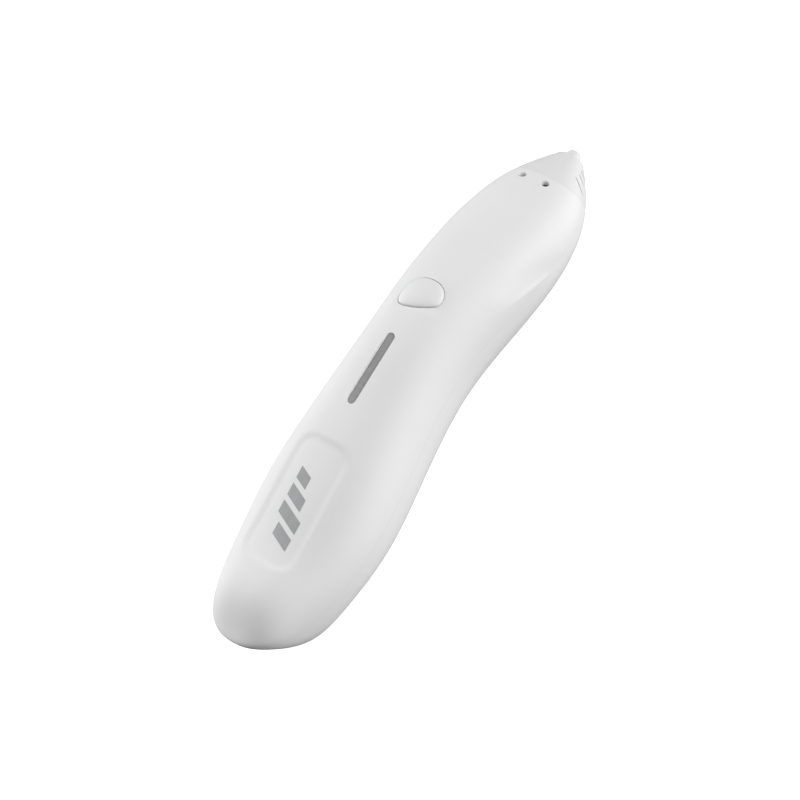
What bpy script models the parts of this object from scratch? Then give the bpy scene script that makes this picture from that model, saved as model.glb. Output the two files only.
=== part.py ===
"""Cordless low-temperature three d pen: shells, button, filament drive, battery, boards and hot end.

The pen lies on its belly. X runs from the tail to the tip, Y is the pen's left, Z is up, and the origin is
under the middle of the pen. Sizes are in millimetres and become metres when a mesh is made. Distances
run along the pen, from the tail's round end at TAIL_END to the tip at LENGTH.
"""

import math

import bmesh
import bpy
import numpy as np
from mathutils import Vector

MM = 0.001
LENGTH = 178.0
TAIL_END = 0.9
MIDDLE = (LENGTH + TAIL_END) / 2
WALL = 1.8
GAP = 0.3

# Outline of the body: distance along the pen, height of the top, height of the belly, half width
OUTLINE = [
    (TAIL_END, 24.7, 23.7, 0.5),
    (5.0, 28.3, 16.3, 10.1),
    (14.0, 34.0, 2.7, 14.3),
    (28.0, 34.8, 0.2, 17.6),
    (50.0, 38.2, -0.1, 19.1),
    (75.0, 41.0, 2.8, 16.9),
    (100.0, 41.5, 3.8, 15.4),
    (125.0, 36.9, 1.0, 17.0),
    (146.0, 29.5, -0.3, 16.9),
    (162.0, 22.6, 1.8, 12.8),
    (173.0, 16.3, 5.7, 5.8),
    (178.0, 12.8, 8.9, 1.9),
]
UPPER_SQUARENESS = 2.4
LOWER_SQUARENESS = 2.8
BODY_FRONT = 163.0
CAP_FRONT = 175.5

# Features on the top, as distances along the pen
PAD_BACK, PAD_FRONT, PAD_HALF_WIDTH, PAD_DEPTH, PAD_CORNER = 22.0, 61.5, 9.3, 0.6, 7.0
WINDOW_BACK, WINDOW_FRONT, WINDOW_HALF_WIDTH = 72.3, 95.3, 1.2
BUTTON_MIDDLE, BUTTON_FRONT, BUTTON_BACK, BUTTON_HALF_WIDTH = 109.6, 5.4, 4.8, 6.35
BUTTON_SLANT, BUTTON_DOME = 0.32, 1.1
EYE_AT, EYE_SIDE, EYE_RADIUS = 160.4, 4.1, 1.1

# Vent slits on each side of the nose cap, from end to end, each end as (distance, degrees up the side)
VENT_SLITS = (((168.6, 36), (165.2, 4)), ((170.4, 26), (168.4, 2)), ((172.2, 16), (171.0, -4)))
SLIT_HALF_WIDTH = 0.28

# Drive train: the filament runs level from the tail to the feed wheel, then drops to the nozzle
FILAMENT_HEIGHT = 14.0
NOZZLE_HEIGHT = 10.85
GEAR_MODULE = 0.6
PINION_TEETH, FEED_TEETH = 15, 33
CENTRE_DISTANCE = GEAR_MODULE * (PINION_TEETH + FEED_TEETH) / 2
WHEEL_RADIUS, ROLLER_RADIUS, FILAMENT_RADIUS = 5.0, 3.5, 0.9
FEED_AT = (74.0, FILAMENT_HEIGHT + FILAMENT_RADIUS + WHEEL_RADIUS)
ROLLER_AT = (74.0, FILAMENT_HEIGHT - FILAMENT_RADIUS - ROLLER_RADIUS)
MOTOR_LIFT = math.radians(12)
MOTOR_AT = (
    FEED_AT[0] - CENTRE_DISTANCE * math.cos(MOTOR_LIFT),
    FEED_AT[1] + CENTRE_DISTANCE * math.sin(MOTOR_LIFT),
)
ARM_PIVOT = (79.0, 8.0)

# Battery, boards and screws
CELL_RADIUS, CELL_LENGTH, CELL_BACK, CELL_HEIGHT = 7.0, 34.8, 17.6, 24.5
CELL_CAP = 0.6
BOARD_BACK, BOARD_FRONT, BOARD_BOTTOM, BOARD_TOP, BOARD_HALF_WIDTH = 68.0, 119.0, 32.0, 33.2, 9.0
CASE_SCREWS = [(14.5, 9.0, 10.6), (130.0, 9.0, 9.6)]
BOARD_SCREWS = [(70.5, 6.5), (116.6, -6.6)]
CASE_POST_RADIUS, BOARD_POST_RADIUS = 2.4, 2.0
CASE_PILOT_RADIUS, BOARD_PILOT_RADIUS, HEAD_WELL_RADIUS, SHANK_HOLE_RADIUS = 1.0, 0.9, 1.7, 1.1

# Shafts and the holes that take them
SHAFT_RADIUS, SHAFT_HOLE_RADIUS = 1.5, 1.7
FILAMENT_BORE_RADIUS = 1.05

# Tail facet: a flat plate facing back and down, with the charging socket and the filament inlet
FACET_MIDDLE = Vector((8.8, 0, 10.5))
FACET_OUT = Vector((-0.835, 0, -0.55)).normalized()
FACET_UP = Vector((-0.55, 0, 0.835)).normalized()
FACET_HALF_WIDTH, FACET_HALF_HEIGHT, PLATE_THICKNESS = 5.5, 8.2, 1.6
SOCKET_SLIDE = -4.7

BUTTON_OUTLINE_POINTS = 26


# ---------------------------------------------------------------- materials and objects

def material(name, colour, roughness, metallic=0.0):
    """A plain Principled material, made once for each name."""
    found = bpy.data.materials.get(name)
    if found:
        return found
    made = bpy.data.materials.new(name)
    made.use_nodes = True
    surface = made.node_tree.nodes["Principled BSDF"]
    surface.inputs["Base Color"].default_value = (*colour, 1.0)
    surface.inputs["Roughness"].default_value = roughness
    surface.inputs["Metallic"].default_value = metallic
    made.diffuse_color = (*colour, 1.0)
    return made


def add_part(name, solid, look, pivot=(0, 0, 0)):
    """Turn a solid in millimetres along the pen into a named object whose origin is at its pivot."""
    centre = Vector(pivot)
    for vertex in solid.verts:
        vertex.co = (vertex.co - centre) * MM
    mesh = bpy.data.meshes.new(name)
    solid.to_mesh(mesh)
    solid.free()
    mesh.materials.append(look)
    mesh.shade_smooth()
    mesh.set_sharp_from_angle(angle=math.radians(35))
    part = bpy.data.objects.new(name, mesh)
    part.location = (centre - Vector((MIDDLE, 0, 0))) * MM
    bpy.context.collection.objects.link(part)
    return part


def combine(part, solid, name, operation):
    """Boolean the part with a hidden tool solid."""
    tool = add_part(name, solid, CUTTER)
    tool.hide_render = True
    tool.display_type = "WIRE"
    step = part.modifiers.new(name, "BOOLEAN")
    step.operation = operation
    step.object = tool
    return tool


def cut(part, solid, name):
    return combine(part, solid, name, "DIFFERENCE")


def join(part, solid, name):
    return combine(part, solid, name, "UNION")


def keep_inside(part, solid, name):
    return combine(part, solid, name, "INTERSECT")


# ---------------------------------------------------------------- solids

def loft(rings, looped=False):
    """A closed solid through rings of points, capped at its ends or joined end to start."""
    solid = bmesh.new()
    rows = [[solid.verts.new(Vector(point)) for point in ring] for ring in rings]
    pairs = list(zip(rows, rows[1:]))
    if looped:
        pairs.append((rows[-1], rows[0]))
    for near, far in pairs:
        for k in range(len(near)):
            n = (k + 1) % len(near)
            solid.faces.new((near[k], near[n], far[n], far[k]))
    if not looped:
        solid.faces.new(rows[0])
        solid.faces.new(rows[-1])
    bmesh.ops.recalc_face_normals(solid, faces=solid.faces)
    if solid.calc_volume(signed=True) < 0:
        bmesh.ops.reverse_faces(solid, faces=solid.faces)
    return solid


def together(solids):
    """One bmesh that holds several separate solids."""
    whole = bmesh.new()
    for solid in solids:
        mesh = bpy.data.meshes.new("passing")
        solid.to_mesh(mesh)
        solid.free()
        whole.from_mesh(mesh)
        bpy.data.meshes.remove(mesh)
    return whole


def circle_about(centre, direction, radius, sides=16):
    """A ring of points about a centre, square to a direction."""
    direction = Vector(direction).normalized()
    side = direction.cross(Vector((0, 0, 1)))
    if side.length < 0.01:
        side = Vector((0, 1, 0))
    side.normalize()
    other = direction.cross(side)
    points = []
    for k in range(sides):
        turn = 2 * math.pi * k / sides
        points.append(Vector(centre) + side * (radius * math.cos(turn)) + other * (radius * math.sin(turn)))
    return points


def turned(start, direction, profile, sides=20, bored=False):
    """A turned solid: the profile lists (distance along the axis, radius), closed into a ring if bored."""
    start, direction = Vector(start), Vector(direction).normalized()
    rings = [circle_about(start + direction * along, direction, radius, sides) for along, radius in profile]
    return loft(rings, looped=bored)


def rod(start, end, radius, sides=16):
    start, end = Vector(start), Vector(end)
    return turned(start, end - start, [(0, radius), ((end - start).length, radius)], sides)


def sleeve(start, end, outer, inner, sides=20):
    start, end = Vector(start), Vector(end)
    span = (end - start).length
    profile = [(0, outer), (span, outer), (span, inner), (0, inner)]
    return turned(start, end - start, profile, sides, bored=True)


def prism(outline, low, high, place):
    """Extrude a flat outline between two levels; place turns (u, v, level) into a point."""
    return loft([[place(u, v, level) for u, v in outline] for level in (low, high)])


def upright(u, v, level):
    return (u, v, level)


def sideways(u, v, level):
    """Outline in the XZ plane, extruded along Y."""
    return (u, level, v)


def lengthways(u, v, level):
    """Outline in the YZ plane, extruded along X."""
    return (level, u, v)


def on_facet(across, up, depth):
    """A point given across and up the tail facet, at a depth behind its face."""
    return FACET_MIDDLE + Vector((0, 1, 0)) * across + FACET_UP * up - FACET_OUT * depth


def rounded_box(u_low, u_high, v_low, v_high, radius, steps=4):
    """Outline of a rectangle with round corners."""
    corners = [
        (u_high - radius, v_high - radius, 0),
        (u_low + radius, v_high - radius, 90),
        (u_low + radius, v_low + radius, 180),
        (u_high - radius, v_low + radius, 270),
    ]
    outline = []
    for u, v, turn in corners:
        for k in range(steps + 1):
            angle = math.radians(turn + 90 * k / steps)
            outline.append((u + radius * math.cos(angle), v + radius * math.sin(angle)))
    return outline


def box(x, y, z, radius=0.4, steps=1):
    """A box between pairs of limits, its upright edges rounded."""
    return prism(rounded_box(*x, *y, radius, steps), *z, upright)


def gear_outline(teeth, tip_towards, centre):
    """Outline in the XZ plane of a small plastic gear with one tooth pointing at the angle given."""
    pitch = GEAR_MODULE * teeth / 2
    tip, root = pitch + 0.85 * GEAR_MODULE, pitch - 1.1 * GEAR_MODULE
    step = 2 * math.pi / teeth
    shape = ((-0.27, root), (-0.1, tip), (0.1, tip), (0.27, root))
    outline = []
    for k in range(teeth):
        for share, radius in shape:
            angle = tip_towards + (k + share) * step
            outline.append((centre[0] + radius * math.cos(angle), centre[1] + radius * math.sin(angle)))
    return outline


def tube_along(points, outer, inner, sides=12):
    """A hose with a bore through a list of centre points."""
    points = [Vector(p) for p in points]
    behind, ahead = [points[0]] + points[:-1], points[1:] + [points[-1]]
    ways = [(after - before).normalized() for before, after in zip(behind, ahead)]
    skin = [circle_about(p, way, outer, sides) for p, way in zip(points, ways)]
    bore = [circle_about(p, way, inner, sides) for p, way in zip(points, ways)]
    return loft(skin + bore[::-1], looped=True)


# ---------------------------------------------------------------- the body's surface

def bend_of(heights, places):
    """Second derivatives of the natural cubic through the given values."""
    count = len(places)
    spans = np.diff(places)
    slopes = np.diff(heights) / spans
    system = np.eye(count)
    right = np.zeros(count)
    for k in range(1, count - 1):
        system[k, k - 1:k + 2] = spans[k - 1], 2 * (spans[k - 1] + spans[k]), spans[k]
        right[k] = 6 * (slopes[k] - slopes[k - 1])
    return np.linalg.solve(system, right)


# The cubic runs in the square root of the distance from the tail's end, so that the tail closes round
PLACES = np.sqrt([row[0] - TAIL_END for row in OUTLINE])
TOP, BELLY, HALF_WIDTH = (np.array([row[column] for row in OUTLINE]) for column in (1, 2, 3))
BENDS = {id(values): bend_of(values, PLACES) for values in (TOP, BELLY, HALF_WIDTH)}


def smooth_value(values, distance):
    """Value at a distance on the smooth curve through the outline's stations."""
    place = math.sqrt(max(distance - TAIL_END, 0.0))
    k = int(np.clip(np.searchsorted(PLACES, place) - 1, 0, len(PLACES) - 2))
    span = PLACES[k + 1] - PLACES[k]
    ahead, behind = (PLACES[k + 1] - place) / span, (place - PLACES[k]) / span
    bends = BENDS[id(values)]
    curve = (ahead ** 3 - ahead) * bends[k] + (behind ** 3 - behind) * bends[k + 1]
    return float(ahead * values[k] + behind * values[k + 1] + curve * span ** 2 / 6)


def section(distance, inset=0.0):
    """Middle height, half height and half width of the body at a distance."""
    top, belly = smooth_value(TOP, distance), smooth_value(BELLY, distance)
    return (top + belly) / 2, (top - belly) / 2 - inset, smooth_value(HALF_WIDTH, distance) - inset


def skin_point(distance, angle, inset=0.0):
    """Point on the body's surface; angle 0 is the left side and a quarter turn is the top."""
    middle, half_height, half_width = section(distance, inset)
    across, up = math.cos(angle), math.sin(angle)
    power = 2 / (UPPER_SQUARENESS if up > 0 else LOWER_SQUARENESS)
    y = half_width * math.copysign(abs(across) ** power, across)
    z = middle + half_height * math.copysign(abs(up) ** power, up)
    return Vector((distance, y, max(z, inset)))


def top_height(distance, side, inset=0.0):
    """Height of the upper surface over a point."""
    middle, half_height, half_width = section(distance, inset)
    share = min(abs(side) / half_width, 0.999)
    return middle + half_height * (1 - share ** UPPER_SQUARENESS) ** (1 / UPPER_SQUARENESS)


def roof_over(distance, side, radius):
    """Height inside the wall that a round post can reach without coming through the top."""
    rim = [(distance + dx, abs(side) + dy) for dx, dy in ((radius, 0), (-radius, 0), (0, radius), (0, 0))]
    skin_left = 0.6
    return min(top_height(*place) for place in rim) - skin_left


def ring(distance, inset=0.0, count=40, at=None):
    """One whole section of the body, moved to another distance where asked."""
    points = [skin_point(distance, 2 * math.pi * k / count, inset) for k in range(count)]
    if at is not None:
        for point in points:
            point.x = at
    return points


def body_distances(last, count):
    """Distances for the rings, close together at the tail and even further on."""
    return [TAIL_END + (last - TAIL_END) * (k / count) ** 1.5 for k in range(count + 1)]


def half_body(upper, count=18, rings=28):
    """The upper or lower half of the body up to the seam with the nose cap, solid."""
    sign = 1 if upper else -1
    rows = []
    for distance in body_distances(BODY_FRONT - GAP / 2, rings):
        middle, half_height, _ = section(distance)
        squeeze = 1 - GAP / 2 / half_height
        row = [skin_point(distance, sign * math.pi * k / count) for k in range(count + 1)]
        for point in row:
            point.z = max(middle + sign * GAP / 2 + (point.z - middle) * squeeze, 0.0)
        rows.append(row)
    return loft(rows)


def cavity():
    """The room inside the shells, running out through the seam with the nose cap."""
    tail_push, push_fades_over = 2.4, 9.0
    rows = []
    for distance in body_distances(150.0, 17)[1:] + [154.0, 158.0, 162.0, 166.0]:
        push = tail_push * math.exp(-distance / push_fades_over)
        rows.append(ring(distance, WALL, 32, at=distance + push))
    return loft(rows)


def body_core(inset, back, front):
    """A stretch of the body's shape, inset from its surface."""
    steps = 8
    return loft([ring(back + (front - back) * k / steps, inset, 48) for k in range(steps + 1)])


def button_outline(grow):
    """Outline of the button: nearly straight and slanted towards the tail, round towards the tip."""
    outline = []
    for k in range(BUTTON_OUTLINE_POINTS):
        angle = 2 * math.pi * k / BUTTON_OUTLINE_POINTS
        along, across = math.cos(angle), math.sin(angle)
        y = (BUTTON_HALF_WIDTH + grow) * math.copysign(abs(across) ** 0.92, across)
        if along > 0:
            x = (BUTTON_FRONT + grow) * along ** 0.92
        else:
            x = -(BUTTON_BACK + grow) * abs(along) ** 0.6 - BUTTON_SLANT * y * abs(along) ** 0.5
        outline.append((BUTTON_MIDDLE + x, y))
    return outline


def scaled_to(outline, centre, share):
    return [(centre + (u - centre) * share, v * share) for u, v in outline]


# ---------------------------------------------------------------- colours

CUTTER = material("cutter", (0.8, 0.2, 0.2), 0.5)
SHELL_WHITE = material("shell_white_plastic", (0.86, 0.86, 0.86), 0.42)
CAP_WHITE = material("nose_cap_plastic", (0.80, 0.80, 0.81), 0.45)
BUTTON_WHITE = material("button_plastic", (0.88, 0.88, 0.88), 0.35)
WINDOW_GREY = material("window_smoked_plastic", (0.30, 0.30, 0.31), 0.30)
DARK_PLASTIC = material("dark_plastic", (0.06, 0.06, 0.065), 0.5)
NATURAL_NYLON = material("natural_nylon", (0.72, 0.70, 0.64), 0.45)
BLACK_NYLON = material("black_nylon", (0.05, 0.05, 0.05), 0.45)
STEEL = material("steel", (0.62, 0.62, 0.64), 0.28, 1.0)
BRASS = material("brass", (0.78, 0.58, 0.28), 0.3, 1.0)
ALUMINIUM = material("aluminium", (0.75, 0.76, 0.78), 0.35, 1.0)
GREEN_BOARD = material("circuit_board", (0.02, 0.18, 0.08), 0.45)
CELL_WRAP = material("battery_wrap", (0.05, 0.16, 0.42), 0.35)
LED_LENS = material("led_lens", (0.85, 0.87, 0.8), 0.2)
HOSE_WHITE = material("hose_plastic", (0.88, 0.88, 0.85), 0.4)
CERAMIC = material("ceramic", (0.85, 0.83, 0.78), 0.6)


# ---------------------------------------------------------------- shells

def screw_posts(upper):
    """Posts that take the screws; the lower ones start inside the belly's wall."""
    tail_post_foot, front_post_foot = 8.0, 4.2
    posts = []
    for distance, side, _ in CASE_SCREWS:
        middle = section(distance)[0]
        for y in (-side, side):
            if upper:
                ends = (middle + GAP / 2, roof_over(distance, side, CASE_POST_RADIUS))
            else:
                ends = (tail_post_foot if distance < 20 else front_post_foot, middle - GAP / 2)
            posts.append(rod((distance, y, ends[0]), (distance, y, ends[1]), CASE_POST_RADIUS))
    if upper:
        for distance, y in BOARD_SCREWS:
            roof = roof_over(distance, y, BOARD_POST_RADIUS)
            posts.append(rod((distance, y, BOARD_TOP + GAP), (distance, y, roof), BOARD_POST_RADIUS))
    return posts


def upper_openings():
    holes = []
    for distance, side, _ in CASE_SCREWS:
        middle = section(distance)[0]
        for y in (-side, side):
            holes.append(rod((distance, y, middle - 1), (distance, y, middle + 5.5), CASE_PILOT_RADIUS, 12))
    for distance, y in BOARD_SCREWS:
        holes.append(rod((distance, y, BOARD_TOP), (distance, y, BOARD_TOP + 3.4), BOARD_PILOT_RADIUS, 12))
    for y in (-EYE_SIDE, EYE_SIDE):
        level = top_height(EYE_AT, EYE_SIDE)
        holes.append(rod((EYE_AT, y, level - 3.2), (EYE_AT, y, level + 2), EYE_RADIUS))
    half_width = WINDOW_HALF_WIDTH
    slot = rounded_box(WINDOW_BACK, WINDOW_FRONT, -half_width, half_width, half_width - 0.01)
    holes.append(prism(slot, 36, 45, upright))
    holes.append(prism(button_outline(GAP), 35, 45, upright))
    return holes


def make_upper_shell():
    shell = add_part("upper_shell", half_body(upper=True), SHELL_WHITE)
    cut(shell, cavity(), "upper_room")
    join(shell, together(screw_posts(upper=True)), "upper_posts")
    cut(shell, together(upper_openings()), "upper_holes")
    outline = rounded_box(PAD_BACK, PAD_FRONT, -PAD_HALF_WIDTH, PAD_HALF_WIDTH, PAD_CORNER)
    recess = cut(shell, prism(outline, 26, 46, upright), "pad_recess")
    cut(recess, body_core(PAD_DEPTH, PAD_BACK - 4, PAD_FRONT + 4), "pad_floor")
    return shell


def make_lower_shell():
    shell = add_part("lower_shell", half_body(upper=False), SHELL_WHITE)
    cut(shell, cavity(), "lower_room")
    join(shell, together(screw_posts(upper=False)), "lower_posts")
    holes = []
    for distance, side, ledge in CASE_SCREWS:
        well = [(0, HEAD_WELL_RADIUS), (ledge + 1, HEAD_WELL_RADIUS)]
        well += [(ledge + 1, SHANK_HOLE_RADIUS), (24, SHANK_HOLE_RADIUS)]
        for y in (-side, side):
            holes.append(turned((distance, y, -1), (0, 0, 1), well, 14))
    half_width, half_height = FACET_HALF_WIDTH + GAP, FACET_HALF_HEIGHT + GAP
    outline = rounded_box(-half_width, half_width, -half_height, half_height, 3.0)
    holes.append(prism(outline, -6, 4, on_facet))
    cut(shell, together(holes), "lower_holes")
    return shell


def make_nose_cap():
    """The cap, with a thin spigot that runs back inside the body; inner steps are (distance, inset)."""
    back = BODY_FRONT + GAP / 2
    spigot_end = 158
    spigot_outer, spigot_inner = WALL + GAP, WALL + GAP + 1.2
    mouth_radius, mouth_depth = 3.1, 1.2
    count = 32
    outside = [ring(back + (CAP_FRONT - back) * k / 7, 0.0, count) for k in range(8)]
    mouth = []
    for at in (CAP_FRONT, CAP_FRONT - mouth_depth):
        points = circle_about((at, 0, NOZZLE_HEIGHT), (1, 0, 0), mouth_radius, count)
        mouth.append(nearest_turn(points, outside[-1]))
    inner_steps = ((173, 1.7), (170, 1.8), (167, 1.9), (back, spigot_inner), (spigot_end, spigot_inner))
    inside = [ring(distance, inset, count) for distance, inset in inner_steps]
    spigot = [ring(spigot_end, spigot_outer, count), ring(back, spigot_outer, count)]
    cap = add_part("nose_cap", loft(outside + mouth + inside + spigot, looped=True), CAP_WHITE)
    slits = []
    for start, end in VENT_SLITS:
        for mirrored in (False, True):
            slits.append(slit(start, end, mirrored))
    cut(cap, together(slits), "vent_slits")


def nearest_turn(points, pattern):
    """Start a ring of points, and run it round, so that it matches another ring."""
    tries = []
    for run in (points, points[::-1]):
        for k in range(len(run)):
            turned_run = run[k:] + run[:k]
            miss = sum((Vector(a) - Vector(b)).length for a, b in zip(turned_run[::4], pattern[::4]))
            tries.append((miss, turned_run))
    return min(tries, key=lambda found: found[0])[1]


def slit(start, end, mirrored):
    """A thin cut through the cap's side between two places given as (distance, degrees up the side)."""
    corners = []
    for inset in (-0.8, 3.0):
        for (distance, degrees), side in ((start, -1), (start, 1), (end, 1), (end, -1)):
            shift = side * SLIT_HALF_WIDTH
            angle = math.radians(180 - degrees if mirrored else degrees)
            corners.append(skin_point(distance + shift, angle, inset))
    cutter = loft([corners[:4], corners[4:]])
    bmesh.ops.triangulate(cutter, faces=cutter.faces)
    return cutter


def make_tail():
    half_width, half_height = FACET_HALF_WIDTH, FACET_HALF_HEIGHT
    plate_outline = rounded_box(-half_width, half_width, -half_height, half_height, 2.7)
    plate = add_part("tail_port_plate", prism(plate_outline, 0, PLATE_THICKNESS, on_facet), SHELL_WHITE)
    socket_hole = rounded_box(-4.7, 4.7, SOCKET_SLIDE - 1.9, SOCKET_SLIDE + 1.9, 1.85)
    inlet_hole = rod((0, 0, FILAMENT_HEIGHT), (16, 0, FILAMENT_HEIGHT), 2.4)
    cut(plate, together([prism(socket_hole, -1, 3, on_facet), inlet_hole]), "plate_holes")

    shell_outline = rounded_box(-4.4, 4.4, SOCKET_SLIDE - 1.6, SOCKET_SLIDE + 1.6, 1.55)
    mouth_outline = rounded_box(-4.1, 4.1, SOCKET_SLIDE - 1.3, SOCKET_SLIDE + 1.3, 1.25)
    socket = add_part("charge_socket", prism(shell_outline, 0.2, 6.2, on_facet), STEEL)
    cut(socket, prism(mouth_outline, -1, 5.3, on_facet), "socket_mouth")
    tongue = rounded_box(-3.3, 3.3, SOCKET_SLIDE - 0.35, SOCKET_SLIDE + 0.35, 0.2, 1)
    add_part("charge_socket_tongue", prism(tongue, 1.0, 5.0, on_facet), DARK_PLASTIC)
    board = rounded_box(-5.4, 5.4, SOCKET_SLIDE - 2.7, SOCKET_SLIDE - 1.8, 0.1, 1)
    add_part("charge_board", prism(board, 2.2, 9.0, on_facet), GREEN_BOARD)

    bush = sleeve((2.0, 0, FILAMENT_HEIGHT), (13.0, 0, FILAMENT_HEIGHT), 2.1, 1.1)
    inlet = add_part("filament_inlet_bush", bush, DARK_PLASTIC)
    outside = rounded_box(-8, 8, -14, 14, 1, 1)
    cut(inlet, prism(outside, -12, 0.0, on_facet), "outside_facet")


# ---------------------------------------------------------------- controls and lights

def make_button():
    edge = button_outline(0)
    middle = BUTTON_MIDDLE

    def level(outline, lift):
        return [(u, v, top_height(u, v) + lift) for u, v in outline]

    stem = scaled_to(edge, middle, 0.32)
    rings = [
        [(u, v, 36.6) for u, v in stem],
        [(u, v, 37.2) for u, v in stem],
        level(scaled_to(edge, middle, 1.1), -3.2),
        level(scaled_to(edge, middle, 1.1), -WALL - 0.7),
        level(edge, -WALL - 0.6),
        level(edge, -0.15),
    ]
    for k in range(1, 6):
        turn = math.radians(18 * k)
        share = 0.03 + 0.97 * math.cos(turn)
        rings.append(level(scaled_to(edge, middle, share), -0.15 + BUTTON_DOME * math.sin(turn)))
    add_part("button_cap", loft(rings), BUTTON_WHITE, pivot=(middle, 0, 36.6))


def make_switch():
    x, y = BUTTON_MIDDLE, 0
    body = box((x - 3, x + 3), (y - 3, y + 3), (BOARD_TOP + 0.2, 35.6), 0.5)
    switch = add_part("switch_body", body, BLACK_NYLON)
    cut(switch, rod((x, y, 33.9), (x, y, 37), 1.7), "switch_well")
    plunger = rod((x, y, 35.0), (x, y, 36.35), 1.35)
    add_part("switch_plunger", plunger, DARK_PLASTIC, pivot=(x, y, 35.0))


def make_light_window():
    half_width = WINDOW_HALF_WIDTH - 0.15
    ends = (WINDOW_BACK + 0.15, WINDOW_FRONT - 0.15)
    outline = rounded_box(*ends, -half_width, half_width, half_width - 0.01)
    window = add_part("light_window", prism(outline, 37.6, 45, upright), WINDOW_GREY)
    keep_inside(window, body_core(0.25, WINDOW_BACK - 4, WINDOW_FRONT + 4), "window_top")
    for k in range(3):
        x = 76.5 + 7.3 * k
        lens = box((x - 1.2, x + 1.2), (-0.8, 0.8), (BOARD_TOP + 0.2, BOARD_TOP + 1.6), 0.3)
        add_part(f"status_led_{k + 1}", lens, LED_LENS)


def make_eyes():
    level = top_height(EYE_AT, EYE_SIDE)
    for name, y in (("left", EYE_SIDE), ("right", -EYE_SIDE)):
        pin = rod((EYE_AT, y, level - 1.6), (EYE_AT, y, level - 0.6), EYE_RADIUS - 0.2, 14)
        add_part(f"eye_lens_{name}", pin, DARK_PLASTIC)


# ---------------------------------------------------------------- power and boards

def make_power():
    shoulder = CELL_LENGTH - CELL_CAP
    profile = [(0, 3.2), (CELL_CAP, 3.2), (CELL_CAP, CELL_RADIUS)]
    profile += [(shoulder, CELL_RADIUS), (shoulder, 5.4), (CELL_LENGTH, 5.4)]
    cell = turned((CELL_BACK, 0, CELL_HEIGHT), (1, 0, 0), profile, 28)
    add_part("battery_cell", cell, CELL_WRAP)
    outline = []
    cradle_wall = 1.1
    for radius, order in ((CELL_RADIUS + GAP, 1), (CELL_RADIUS + GAP + cradle_wall, -1)):
        sweep = [math.radians(205 + 13 * k) for k in range(11)][::order]
        outline += [(radius * math.cos(a), CELL_HEIGHT + radius * math.sin(a)) for a in sweep]
    add_part("battery_cradle", prism(outline, 20, 50, lengthways), NATURAL_NYLON)


def make_main_board():
    outline = rounded_box(BOARD_BACK, BOARD_FRONT, -BOARD_HALF_WIDTH, BOARD_HALF_WIDTH, 2.0, 3)
    board = add_part("main_board", prism(outline, BOARD_BOTTOM, BOARD_TOP, upright), GREEN_BOARD)
    holes = [rod((x, y, 30), (x, y, 36), 1.1, 12) for x, y in BOARD_SCREWS]
    cut(board, together(holes), "board_holes")
    chip = box((90, 97), (-3.5, 3.5), (BOARD_BOTTOM - 1.3, BOARD_BOTTOM - 0.2), 0.3)
    add_part("driver_chip", chip, BLACK_NYLON)
    for k, (x, y) in enumerate(BOARD_SCREWS):
        reach = BOARD_TOP - BOARD_BOTTOM + 3.2
        add_screw(f"board_screw_{k + 1}", (x, y, BOARD_BOTTOM - GAP), 1.7, 0.65, reach)


def add_screw(name, seat, head, shank, reach):
    """A pan-head screw pointing up, its head under the seat, with a slot in the head."""
    profile = [(-1.2, head * 0.7), (-0.9, head), (0, head), (0, shank)]
    profile += [(reach, shank), (reach + 0.5, shank * 0.4)]
    screw = add_part(name, turned(seat, (0, 0, 1), profile, 12), STEEL)
    x, y, z = seat
    slot = box((x - 0.2, x + 0.2), (y - head * 0.6, y + head * 0.6), (z - 2, z - 0.7), 0.05)
    cut(screw, slot, name + "_slot")


def make_case_screws():
    count = 0
    for distance, side, ledge in CASE_SCREWS:
        for y in (-side, side):
            count += 1
            reach = section(distance)[0] + 4.5 - ledge
            add_screw(f"case_screw_{count}", (distance, y, ledge - 0.2), 1.4, 0.8, reach)


# ---------------------------------------------------------------- filament drive

def make_motor():
    x, z = MOTOR_AT
    sides = (x - 6, x + 6, z - 5, z + 5)
    can = prism(rounded_box(*sides, 4.0), -15.0, -0.4, sideways)
    add_part("gear_motor_can", can, STEEL)
    gearbox = prism(rounded_box(*sides, 0.8, 2), -0.1, 8.6, sideways)
    add_part("gearbox_housing", gearbox, BRASS)
    boss = rod((x, 8.8, z), (x, 9.2, z), 2.0)
    collar = add_part("gearbox_collar", boss, BRASS)
    cut(collar, rod((x, 8, z), (x, 10, z), SHAFT_HOLE_RADIUS), "collar_bore")
    pivot = (x, 9.5, z)
    add_part("motor_shaft", rod((x, 9.4, z), (x, 12.4, z), SHAFT_RADIUS), STEEL, pivot)
    outline = gear_outline(PINION_TEETH, math.pi / PINION_TEETH - MOTOR_LIFT, MOTOR_AT)
    pinion = add_part("motor_pinion", prism(outline, 9.6, 11.8, sideways), BRASS, pivot)
    cut(pinion, rod((x, 8, z), (x, 13, z), SHAFT_HOLE_RADIUS), "pinion_bore")


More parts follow.
